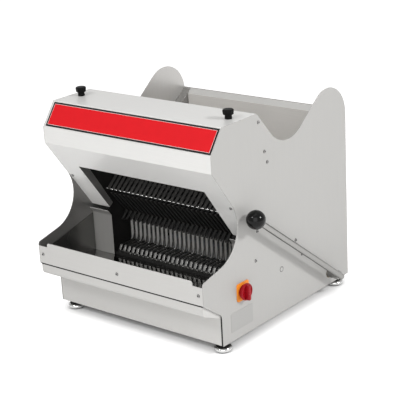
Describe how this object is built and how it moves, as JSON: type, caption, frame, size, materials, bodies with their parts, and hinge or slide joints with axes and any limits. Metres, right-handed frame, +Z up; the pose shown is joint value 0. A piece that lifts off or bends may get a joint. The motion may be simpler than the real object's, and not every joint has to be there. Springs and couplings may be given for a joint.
{
  "type": "bread slicer",
  "caption": "Table-top bread slicer: sheet-metal housing with loaf hopper, hand lever swinging a finned pusher, two counter-moving blade frames, out-feed tray and crumb drawer.",
  "frame": {"origin": "middle of the bounding box on the plane of the feet", "axes": "+Z up, -Y out of the slice mouth at the front, +X towards the lever side"},
  "size_m": [0.6312, 0.6504, 0.615],
  "materials": {
    "panel_steel": "fine satin sheet",
    "polished_steel": "polished sheet",
    "comb_steel": "satin bars",
    "frame_steel": "machined steel",
    "blade_steel": "ground steel",
    "chrome": "bright chrome",
    "black_plastic": "gloss",
    "fin_plastic": "satin",
    "label_black": "gloss",
    "label_red": "gloss",
    "switch_yellow": "gloss",
    "switch_red": "gloss",
    "rubber": "matte",
    "gland_plastic": "matte",
    "plate_aluminium": "matt foil",
    "bronze": "machined",
    "cast_grey": "painted casting"
  },
  "bodies": {
    "root": {"left_side_panel": "panel_steel", "right_side_panel": "panel_steel", "base_plate": "frame_steel", "base_front_panel": "panel_steel", "rear_panel": "panel_steel", "top_cover": "panel_steel", "label_backing": "label_black", "label_face": "label_red", "apron": "panel_steel", "outfeed_floor": "polished_steel", "outfeed_cheeks": "polished_steel", "left_post_guard": "polished_steel", "right_post_guard": "polished_steel", "bed_comb": "comb_steel", "hopper_bed": "polished_steel", "upper_guide": "comb_steel", "hopper_front_wall": "polished_steel", "hopper_back_plate": "polished_steel", "left_inner_wall": "polished_steel", "right_inner_wall": "polished_steel", "feet": "chrome", "foot_studs": "frame_steel", "edge_seals": "rubber", "drawer_runners": "frame_steel", "rating_plate": "plate_aluminium", "switch_plate": "switch_yellow", "switch_body": "black_plastic", "switch_box": "polished_steel", "side_plug": "chrome", "housing_screws": "chrome", "shaft_bushes": "bronze", "guide_rods": "frame_steel", "rod_brackets": "frame_steel", "crank_bearings": "cast_grey", "motor_body": "cast_grey", "drive_belt": "rubber", "cable_gland": "gland_plastic", "passage_liner": "fin_plastic"},
    "feed": {"feed_shaft": "frame_steel", "lever_boss": "chrome", "lever_tube": "chrome", "lever_knob": "black_plastic", "pusher_arms": "frame_steel", "pusher_spine": "frame_steel", "pusher_fins": "fin_plastic"},
    "blade_frame_a": {"beams_a": "frame_steel", "side_posts_a": "frame_steel", "blades_a": "blade_steel", "con_rod_a": "frame_steel"},
    "blade_frame_b": {"beams_b": "frame_steel", "side_posts_b": "frame_steel", "blades_b": "blade_steel", "con_rod_b": "frame_steel"},
    "crank": {"crankshaft": "frame_steel", "crank_pulley": "frame_steel"},
    "motor_rotor": {"motor_pulley": "frame_steel"},
    "switch_knob": {"switch_handle": "switch_red"},
    "left_knob": {"left_cover_knob": "black_plastic"},
    "right_knob": {"right_cover_knob": "black_plastic"},
    "drawer": {"crumb_drawer": "panel_steel"}
  },
  "joints": [
    {"name": "lever_swing", "type": "hinge", "parent": "root", "child": "feed", "pos_m": [-0.0284, 0.227, 0.06], "axis": [-1, 0, 0], "range_deg": [0, 48]},
    {"name": "blade_a_slide", "type": "slide", "parent": "root", "child": "blade_frame_a", "axis": [0, 0, 1], "range_m": [-0.007, 0.007]},
    {"name": "blade_b_slide", "type": "slide", "parent": "root", "child": "blade_frame_b", "axis": [0, 0, 1], "range_m": [-0.007, 0.007]},
    {"name": "crank_spin", "type": "hinge", "parent": "root", "child": "crank", "pos_m": [-0.0284, -0.024, 0.068], "axis": [1, 0, 0], "continuous": true},
    {"name": "motor_spin", "type": "hinge", "parent": "root", "child": "motor_rotor", "pos_m": [-0.2084, 0.125, 0.105], "axis": [1, 0, 0], "continuous": true},
    {"name": "switch_turn", "type": "hinge", "parent": "root", "child": "switch_knob", "pos_m": [0.2596, -0.167, 0.148], "axis": [1, 0, 0], "range_deg": [0, 90]},
    {"name": "left_knob_turn", "type": "hinge", "parent": "root", "child": "left_knob", "pos_m": [-0.2784, -0.147, 0.6], "axis": [0, 0, 1], "continuous": true},
    {"name": "right_knob_turn", "type": "hinge", "parent": "root", "child": "right_knob", "pos_m": [0.2216, -0.147, 0.6], "axis": [0, 0, 1], "continuous": true},
    {"name": "drawer_slide", "type": "slide", "parent": "root", "child": "drawer", "axis": [0, -1, 0], "range_m": [0, 0.16]}
  ],
  "couplings": [
    {"joint": "blade_b_slide", "follows": "blade_a_slide", "ratio": -1},
    {"joint": "motor_spin", "follows": "crank_spin", "ratio": 1.4484}
  ]
}
